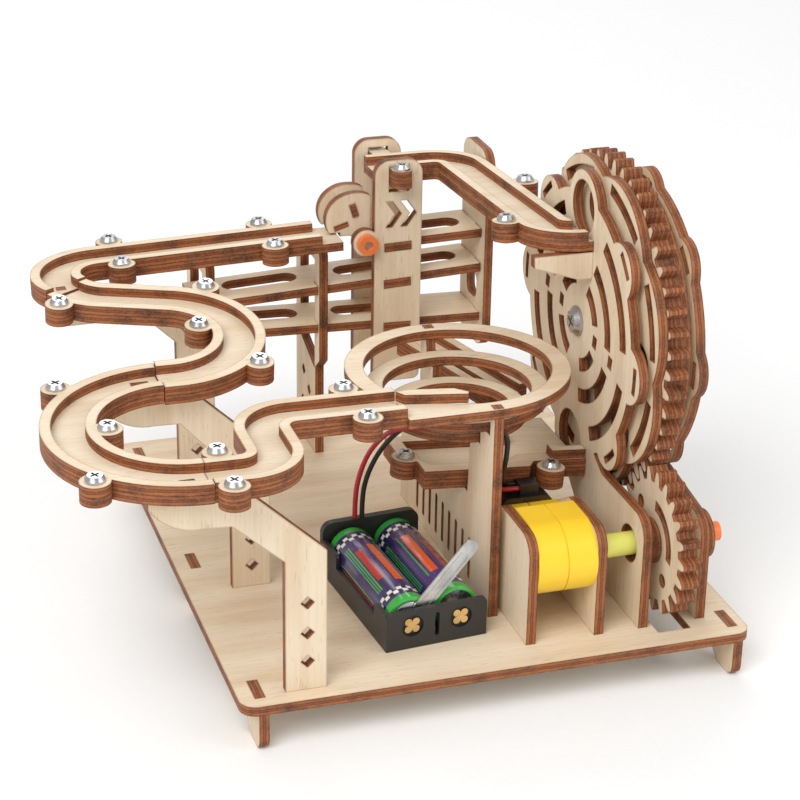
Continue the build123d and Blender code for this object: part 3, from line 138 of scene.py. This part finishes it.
# ---- short calls for building a material's nodes ----
class Graph:
    """One material with a Principled shader, whose inputs are fed by short calls."""

    def __init__(self, name):
        self.material = bpy.data.materials.new(name)
        self.material.use_nodes = True
        self.tree = self.material.node_tree
        self.tree.nodes.clear()
        self.output = self.tree.nodes.new("ShaderNodeOutputMaterial")
        self.shader = self.tree.nodes.new("ShaderNodeBsdfPrincipled")
        self.tree.links.new(self.shader.outputs[0], self.output.inputs[0])
        self.place = self.tree.nodes.new("ShaderNodeTexCoord")

    def put(self, socket, value):
        if isinstance(value, bpy.types.NodeSocket):
            self.tree.links.new(value, socket)
        elif isinstance(value, (tuple, list)) and len(socket.default_value) == 4:
            socket.default_value = (*value[:3], 1)
        else:
            socket.default_value = value

    def set(self, name, value):
        self.put(self.shader.inputs[name], value)

    def maths(self, operation, *values):
        node = self.tree.nodes.new("ShaderNodeMath")
        node.operation = operation
        for socket, value in zip(node.inputs, values):
            self.put(socket, value)
        return node.outputs[0]

    def vector(self, operation, *values):
        node = self.tree.nodes.new("ShaderNodeVectorMath")
        node.operation = operation
        for socket, value in zip(node.inputs, values):
            self.put(socket, value)
        return node.outputs["Value" if operation == "DOT_PRODUCT" else "Vector"]

    def axis(self, vector, index):
        node = self.tree.nodes.new("ShaderNodeSeparateXYZ")
        self.put(node.inputs[0], vector)
        return node.outputs[index]

    def grain(self, vector, scales, detail, roughness):
        """Noise with its own scale along each axis, or one scale for all three."""
        if not isinstance(scales, tuple):
            scales = (scales, scales, scales)
        node = self.tree.nodes.new("ShaderNodeTexNoise")
        self.put(node.inputs["Vector"], self.vector("MULTIPLY", vector, scales))
        self.put(node.inputs["Scale"], 1.0)
        self.put(node.inputs["Detail"], detail)
        self.put(node.inputs["Roughness"], roughness)
        return node.outputs["Fac"]

    def spread(self, value, low, high, to_low=0.0, to_high=1.0):
        """Maps low..high to to_low..to_high, held at both ends."""
        node = self.tree.nodes.new("ShaderNodeMapRange")
        for index, number in enumerate((value, low, high, to_low, to_high)):
            self.put(node.inputs[index], number)
        return node.outputs[0]

    def ramp(self, value, stops):
        node = self.tree.nodes.new("ShaderNodeValToRGB")
        self.put(node.inputs[0], value)
        marks = node.color_ramp.elements
        for mark, (where, colour) in ((marks[0], stops[0]), (marks[1], stops[-1])):
            mark.position = where
            mark.color = (*colour, 1)
        for where, colour in stops[1:-1]:
            marks.new(where).color = (*colour, 1)
        return node.outputs[0]

    def mix(self, share, first, second, kind="MIX"):
        node = self.tree.nodes.new("ShaderNodeMix")
        node.data_type = "RGBA"
        node.blend_type = kind
        self.put(node.inputs[0], share)
        self.put(node.inputs[6], first)
        self.put(node.inputs[7], second)
        return node.outputs[2]

    def bump(self, height, distance, strength=1.0):
        node = self.tree.nodes.new("ShaderNodeBump")
        self.put(node.inputs["Height"], height)
        self.put(node.inputs["Distance"], distance)
        self.put(node.inputs["Strength"], strength)
        self.set("Normal", node.outputs[0])


def paint(piece, material):
    piece.data.materials.clear()
    piece.data.materials.append(material)


def paint_node(name, material):
    slots = NODES[name].material_slots
    for slot in slots:
        slot.link = "OBJECT"
        slot.material = material


# ---- laser-cut birch plywood ----
# nodes made of several sheets: the distance from one sheet to the next
SHEET_PERIOD = {"wheel_gear": 3.02 * MM, "pinion_gears": 3.02 * MM, "motor_side_plates": 21.7 * MM,
                "tipper_plates": 9.4 * MM, "base_feet": 147.4 * MM}

# faces whose normals agree this well, as a cosine, belong to the same broad face
SAME_WAY = 0.998


def sheet_plane(piece):
    """The unit normal of a sheet's two broad faces, and its lowest distance along it."""
    totals = {}
    for face in piece.data.polygons:
        normal = face.normal
        if max(normal, key=abs) < 0:
            normal = -normal
        key = tuple(round(part, 2) for part in normal)
        totals[key] = totals.get(key, 0) + face.area
    best = Vector(max(totals, key=totals.get)).normalized()
    exact = Vector()
    for face in piece.data.polygons:
        cosine = face.normal.dot(best)
        if abs(cosine) > SAME_WAY:
            exact += face.normal * face.area * (1 if cosine > 0 else -1)
    exact.normalize()
    return exact, min(exact.dot(corner.co) for corner in piece.data.vertices)


BIRCH = [(0.30, (0.80, 0.68, 0.52)), (0.50, (0.76, 0.635, 0.47)), (0.66, (0.69, 0.54, 0.375))]
FIBRE = (0.60, 0.42, 0.24)
PORE = (0.40, 0.24, 0.11)
SCORCH = (0.22, 0.095, 0.035)
SOOT = (0.050, 0.018, 0.012)
GRIT = (0.46, 0.19, 0.075)
# across a cut edge: dark glue lines and outer faces, red-brown plies between them
PLIES = [(0.0, (0.040, 0.014, 0.007)), (0.07, (0.29, 0.092, 0.030)), (0.28, (0.38, 0.128, 0.040)),
         (0.36, (0.130, 0.040, 0.015)), (0.50, (0.24, 0.076, 0.025)), (0.64, (0.120, 0.036, 0.014)),
         (0.72, (0.36, 0.118, 0.038)), (0.92, (0.27, 0.086, 0.028)), (1.0, (0.040, 0.014, 0.007))]
# each sheet is cut from its own place in the wood
SHEET_SHIFT = (0.137, 0.071, 0.113)
SCORCH_REACH = 0.5 * MM
PLY_RELIEF = 0.00006


def along_fibres(upright, close, slow):
    """Noise scales for wood grain, which runs up a standing sheet and along X in a lying one."""
    return (close, close, slow) if upright else (slow, close, close)


def birch_face(g, point, upright, fibres):
    """The colour of a broad face, scorched close to its cut edges."""
    figure = g.grain(point, along_fibres(upright, 95, 14), 3, 0.5)
    pores = g.spread(g.grain(point, along_fibres(upright, 1900, 210), 1, 0.4), 0.66, 0.74)
    face = g.ramp(figure, BIRCH)
    face = g.mix(g.spread(fibres, 0.35, 0.75, 0.0, 0.35), face, FIBRE)
    face = g.mix(g.maths("MULTIPLY", pores, 0.35), face, PORE)
    near = g.tree.nodes.new("ShaderNodeAmbientOcclusion")
    near.inside = True
    near.samples = 4
    near.inputs["Distance"].default_value = SCORCH_REACH
    scorch = g.spread(near.outputs["AO"], 0.55, 0.95, 0.55, 0.0)
    return g.mix(scorch, face, SCORCH)


def burnt_plies(g, point, depth, grit):
    """The colour of a cut edge, from its depth through the sheet."""
    plies = g.ramp(depth, PLIES)
    soot = g.grain(point, 120, 4, 0.6)
    plies = g.mix(g.spread(soot, 0.45, 0.70, 0.0, 0.80), plies, SOOT)
    return g.mix(g.spread(grit, 0.45, 0.75, 0.0, 0.35), plies, GRIT)


def plywood(name, normal, start, period, number):
    """Pale birch on the broad faces, scorched plies on the cut edges."""
    g = Graph("plywood_" + name)
    point = g.place.outputs["Object"]
    across = g.maths("ABSOLUTE", g.vector("DOT_PRODUCT", g.place.outputs["Normal"], tuple(normal)))
    on_face = g.spread(across, 0.70, 0.80)
    shifted = g.vector("ADD", point, tuple(part * number for part in SHEET_SHIFT))
    upright = abs(normal.z) < 0.5
    fibres = g.grain(shifted, along_fibres(upright, 1300, 55), 4, 0.6)
    grit = g.grain(shifted, 1500, 3, 0.6)
    level = g.maths("SUBTRACT", g.vector("DOT_PRODUCT", point, tuple(normal)), start)
    depth = g.maths("DIVIDE", g.maths("MODULO", level, period), PLY)
    wander = g.spread(g.grain(shifted, 260, 2, 0.5), 0.3, 0.7, -0.04, 0.04)
    depth = g.maths("ADD", depth, wander)
    face = birch_face(g, shifted, upright, fibres)
    plies = burnt_plies(g, shifted, depth, grit)
    g.set("Base Color", g.mix(on_face, plies, face))
    g.set("Roughness", g.spread(fibres, 0.3, 0.7, 0.52, 0.68))
    g.set("Specular IOR Level", 0.35)
    relief = g.maths("ADD", g.maths("MULTIPLY", fibres, on_face),
                     g.maths("MULTIPLY", g.maths("ADD", grit, depth),
                             g.maths("SUBTRACT", 1.0, on_face)))
    g.bump(relief, PLY_RELIEF, 0.6)
    return g.material


def paint_plywood():
    number = 0
    for row in frame["record"]["subparts"]:
        if not row["material_slot"].startswith("ply_"):
            continue
        number += 1
        name = row["node"]
        normal, start = sheet_plane(NODES[name])
        period = SHEET_PERIOD.get(name, PLY)
        paint_node(name, plywood(name, normal, start, period, number))


paint_plywood()


# ---- metals, plastics and insulation ----
METAL_RELIEF = 0.00003
PLASTIC_RELIEF = 0.00004


def metal(name, colour, roughness, scratch, wear=0.12):
    """Worn metal: fine scratches along one way and slow changes of gloss."""
    g = Graph(name)
    point = g.place.outputs["Object"]
    lines = g.grain(point, scratch, 3, 0.6)
    patches = g.grain(point, 160, 3, 0.5)
    dark = tuple(part * 0.62 for part in colour)
    g.set("Base Color", g.mix(g.spread(patches, 0.40, 0.70), colour, dark))
    g.set("Metallic", 1.0)
    g.set("Roughness", g.spread(lines, 0.3, 0.7, roughness, roughness + wear))
    g.bump(lines, METAL_RELIEF, 0.35)
    return g.material


def plastic(name, colour, roughness, grain=2600, coat=0.0, shade=0.88):
    """Moulded plastic: a fine grained skin, slow changes of tone and gloss."""
    g = Graph(name)
    point = g.place.outputs["Object"]
    skin = g.grain(point, grain, 2, 0.5)
    tone = g.grain(point, 90, 2, 0.5)
    dark = tuple(part * shade for part in colour)
    g.set("Base Color", g.mix(g.spread(tone, 0.40, 0.66), colour, dark))
    g.set("Roughness", g.spread(skin, 0.3, 0.7, roughness - 0.05, roughness + 0.07))
    g.set("Coat Weight", coat)
    g.bump(skin, PLASTIC_RELIEF, 0.30)
    return g.material


STEEL = metal("lever_steel", (0.62, 0.62, 0.60), 0.24, (2600, 260, 260))
ROD = metal("rod_steel", (0.60, 0.60, 0.60), 0.26, (200, 2200, 2200))
ZINC = metal("zinc", (0.60, 0.60, 0.61), 0.22, 900, 0.14)
BRASS = metal("contact_brass_skin", (0.83, 0.62, 0.30), 0.16, 700)
CAN = metal("motor_can_skin", (0.10, 0.10, 0.11), 0.38, 200)
ORANGE = plastic("orange_skin", (0.83, 0.20, 0.045), 0.34, coat=0.2)
SLEEVE = plastic("sleeve_skin", (0.80, 0.80, 0.16), 0.36, coat=0.2)
YELLOW = plastic("gearbox_skin", (0.93, 0.60, 0.02), 0.34, 2600, 0.15, 0.96)
BLACK = plastic("box_skin", (0.022, 0.021, 0.020), 0.42, 2200, 0.05)
RED_WIRE = plastic("red_insulation", (0.42, 0.012, 0.022), 0.40, 3000, 0.1)
BLACK_WIRE = plastic("black_insulation", (0.014, 0.014, 0.015), 0.42, 3000, 0.1)

for node, material in (("tipper_pin", ROD), ("wheel_axle", ROD), ("tipper_pin_caps", ORANGE),
                       ("pinion_axle_cap", ORANGE), ("wheel_axle_screws", ZINC),
                       ("track_screws", ZINC), ("drive_sleeve", SLEEVE),
                       ("motor_gearbox", YELLOW), ("motor_can", CAN), ("battery_box", BLACK),
                       ("battery_contacts", BRASS), ("switch_lever", STEEL),
                       ("switch_pivot", BRASS), ("battery_cells", BLACK)):
    paint_node(node, material)


# ---- soft edges on moulded, pressed and turned parts: how wide each one's rounding is ----
EDGE_WIDTH = {"track_screws": 0.45 * MM, "wheel_axle_screws": 0.5 * MM, "battery_box": 0.25 * MM,
              "motor_gearbox": 0.5 * MM, "tipper_pin_caps": 0.5 * MM, "pinion_axle_cap": 0.5 * MM,
              "battery_contacts": 0.2 * MM, "switch_lever": 0.12 * MM}
EDGE_STEPS = 3
SHARP_EDGE = math.radians(35)

for node, width in EDGE_WIDTH.items():
    bevel = NODES[node].modifiers.new("soft edges", "BEVEL")
    bevel.width = width
    bevel.segments = EDGE_STEPS
    bevel.limit_method = "ANGLE"
    bevel.angle_limit = SHARP_EDGE

paint(red_lead, RED_WIRE)
paint(black_lead, BLACK_WIRE)


# ---- meshes ----
LATHE_STEPS = 56


def lathe(shape):
    """A mesh turned about the Y axis from (radius, y) points; both ends lie on the axis."""
    turns = [2 * math.pi * n / LATHE_STEPS for n in range(LATHE_STEPS)]
    mesh = bmesh.new()
    rings = []
    for radius, y in shape:
        if radius == 0:
            rings.append([mesh.verts.new((0, y, 0))])
            continue
        rings.append([mesh.verts.new((radius * math.cos(a), y, radius * math.sin(a)))
                      for a in turns])
    for first, second in zip(rings, rings[1:]):
        for n in range(LATHE_STEPS):
            m = (n + 1) % LATHE_STEPS
            if len(first) == 1:
                mesh.faces.new((first[0], second[n], second[m]))
            elif len(second) == 1:
                mesh.faces.new((first[n], second[0], first[m]))
            else:
                mesh.faces.new((first[n], second[n], second[m], first[m]))
    bmesh.ops.recalc_face_normals(mesh, faces=mesh.faces)
    return mesh


def finish_mesh(mesh, name):
    """Turns a mesh under construction into mesh data, smooth but for its sharp edges."""
    data = bpy.data.meshes.new(name)
    mesh.to_mesh(data)
    mesh.free()
    for face in data.polygons:
        face.use_smooth = True
    data.set_sharp_from_angle(angle=SHARP_EDGE)
    return data


# ---- the cells, with a printed wrap and no lettering ----
BOX_TURN = math.radians(4.9)
BOX_CORNER = at(0.0481, 0.0186, 0)
CELL_RADIUS = 7.1 * MM
CELL_LONG = 49.4 * MM
CELL_FRONT = 2.75 * MM
CELL_AXES = (8.5 * MM, 23.9 * MM)
CELL_REST = 1.5 * MM
NUB = 1.0 * MM
WRAP_RELIEF = 0.00005

# the print on the wrap: bars from low to high along the cell, each a sector about its middle angle
PRINT_RED = (0.72, 0.10, 0.015)
PRINT_DARK_RED = (0.50, 0.025, 0.015)
PRINT_GREEN = (0.05, 0.42, 0.06)
PRINT_BARS = ((0.012, 0.036, 0.25, 0.20, PRINT_RED), (0.015, 0.034, -0.45, 0.16, PRINT_DARK_RED),
              (0.010, 0.038, -0.72, 0.035, PRINT_GREEN), (0.010, 0.038, -0.84, 0.025, PRINT_GREEN),
              (0.010, 0.038, -0.95, 0.025, PRINT_GREEN), (0.011, 0.037, 0.60, 0.030, PRINT_GREEN))
THIRD_TURN = 2 * math.pi / 3
CHECKED_BANDS = ((0.0045, 0.0075), (0.0405, 0.0435))
CHECKS_ROUND = 28
CHECK_LONG = 1.5 * MM
GREEN_BANDS = ((-0.001, 0.0030), (0.0450, 0.0500))


def box_frame(x, y, z, flip=False):
    """A place in the battery box's own turned axes; flip turns a cell end for end."""
    turn = Matrix.Rotation(BOX_TURN, 4, "Z")
    here = Matrix.Translation(BOX_CORNER) @ turn @ Matrix.Translation((x, y, z))
    return here @ Matrix.Rotation(math.pi, 4, "Z") if flip else here


def cell_wrap():
    """A dark blue wrap with coloured bars, a checked band and a green band at each end."""
    g = Graph("cell_wrap_print")
    point = g.place.outputs["Object"]
    y = g.axis(point, 1)
    around = g.maths("ARCTAN2", g.axis(point, 0), g.axis(point, 2))
    tone = g.grain(point, (110, 35, 110), 3, 0.6)
    colour = g.ramp(tone, [(0.35, (0.018, 0.014, 0.085)), (0.65, (0.055, 0.022, 0.150))])

    def band(low, high):
        """1 where y lies between the two, with crisp edges."""
        above = g.maths("GREATER_THAN", y, low)
        return g.maths("MULTIPLY", above, g.maths("LESS_THAN", y, high))

    def sector(middle, half):
        """1 where the angle round the cell lies within half of the middle."""
        off = g.maths("ABSOLUTE", g.maths("SUBTRACT", around, middle))
        return g.maths("LESS_THAN", off, half)

    for low, high, middle, half, shade in PRINT_BARS:
        for turn in (-THIRD_TURN, 0, THIRD_TURN):
            where = g.maths("MULTIPLY", band(low, high), sector(middle + turn, half))
            colour = g.mix(where, colour, shade)
    checks = g.tree.nodes.new("ShaderNodeTexChecker")
    flat = g.tree.nodes.new("ShaderNodeCombineXYZ")
    g.put(flat.inputs[0], g.maths("MULTIPLY", around, CHECKS_ROUND / (2 * math.pi)))
    g.put(flat.inputs[1], g.maths("DIVIDE", y, CHECK_LONG))
    g.put(checks.inputs["Vector"], flat.outputs[0])
    g.put(checks.inputs["Scale"], 1.0)
    g.put(checks.inputs["Color1"], (0.80, 0.80, 0.78))
    g.put(checks.inputs["Color2"], (0.012, 0.012, 0.040))
    for low, high in CHECKED_BANDS:
        colour = g.mix(band(low, high), colour, checks.outputs[0])
    for low, high in GREEN_BANDS:
        colour = g.mix(band(low, high), colour, (0.035, 0.40, 0.050))
    g.set("Base Color", colour)
    g.set("Roughness", g.spread(tone, 0.3, 0.7, 0.18, 0.30))
    g.set("Coat Weight", 0.6)
    g.set("Coat Roughness", 0.12)
    g.bump(tone, WRAP_RELIEF, 0.25)
    return g.material


def make_cells():
    """Two turned cells, head to tail; the metal shows inside the wrap's folded rims."""
    r = CELL_RADIUS
    end = CELL_LONG - NUB
    shape = [(0, 0), (4.9 * MM, 0), (5.3 * MM, 0.25 * MM), (5.7 * MM, 0.1 * MM),
             (r - 0.5 * MM, 0.02 * MM), (r - 0.12 * MM, 0.2 * MM), (r, 0.7 * MM),
             (r, end - 0.9 * MM), (r - 0.12 * MM, end - 0.35 * MM), (r - 0.6 * MM, end - 0.05 * MM),
             (r - 1.2 * MM, end), (r - 1.5 * MM, end - 0.35 * MM), (3.2 * MM, end - 0.3 * MM),
             (2.7 * MM, end - 0.1 * MM), (2.6 * MM, end + 0.6 * MM),
             (2.3 * MM, end + 0.93 * MM), (1.8 * MM, CELL_LONG - 0.01 * MM),
             (0, CELL_LONG - 0.01 * MM)]
    wrap = cell_wrap()
    for name, x, y, flip in (("cell_left", CELL_AXES[0], CELL_FRONT, False),
                             ("cell_right", CELL_AXES[1], CELL_FRONT + CELL_LONG, True)):
        mesh = finish_mesh(lathe(shape), name)
        mesh.materials.append(wrap)
        mesh.materials.append(ZINC)
        for face in mesh.polygons:
            reach = math.hypot(face.center.x, face.center.z)
            face.material_index = 1 if reach < r - 1.0 * MM else 0
        piece = bpy.data.objects.new(name, mesh)
        bpy.context.scene.collection.objects.link(piece)
        piece.matrix_world = box_frame(x, y, CELL_REST + r, flip)
        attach(piece, "frame")
        if name == "cell_left":
            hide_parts("battery_cells")


make_cells()

# ---- studio ----
FLOOR_HALF = 3.0
PAPER_DARK = (0.86, 0.86, 0.86)
PAPER_PALE = (0.89, 0.89, 0.89)
SKY_STRENGTH = 0.62
# name, place, power in watts and width of each square lamp
LAMPS = (("key", (-0.75, -0.75, 1.15), 15.0, 0.9), ("fill", (0.9, -0.7, 0.6), 4.0, 0.9),
         ("back", (0.2, 1.1, 1.0), 5.0, 0.8))
LAMPS_AIM = Vector((0, 0, 0.06))


def make_studio():
    """A pale paper floor, a white surround and three soft lamps."""
    mesh = bpy.data.meshes.new("floor")
    half = FLOOR_HALF
    mesh.from_pydata([(-half, -half, 0), (half, -half, 0), (half, half, 0), (-half, half, 0)],
                     [], [(0, 1, 2, 3)])
    floor = bpy.data.objects.new("floor", mesh)
    bpy.context.scene.collection.objects.link(floor)
    g = Graph("studio_paper")
    grain = g.grain(g.place.outputs["Object"], 400, 2, 0.5)
    g.set("Base Color", g.mix(grain, PAPER_DARK, PAPER_PALE))
    g.set("Roughness", 0.9)
    paint(floor, g.material)
    world = bpy.data.worlds.new("studio")
    bpy.context.scene.world = world
    world.use_nodes = True
    shade = world.node_tree.nodes["Background"]
    shade.inputs[0].default_value = (1.0, 1.0, 1.0, 1)
    shade.inputs[1].default_value = SKY_STRENGTH
    for name, place, power, size in LAMPS:
        data = bpy.data.lights.new(name, "AREA")
        data.energy = power
        data.size = size
        lamp = bpy.data.objects.new(name, data)
        bpy.context.scene.collection.objects.link(lamp)
        aim = (LAMPS_AIM - Vector(place)).to_track_quat("-Z", "Y")
        lamp.matrix_world = Matrix.Translation(place) @ aim.to_matrix().to_4x4()
    bpy.context.scene.view_settings.view_transform = "Standard"


make_studio()
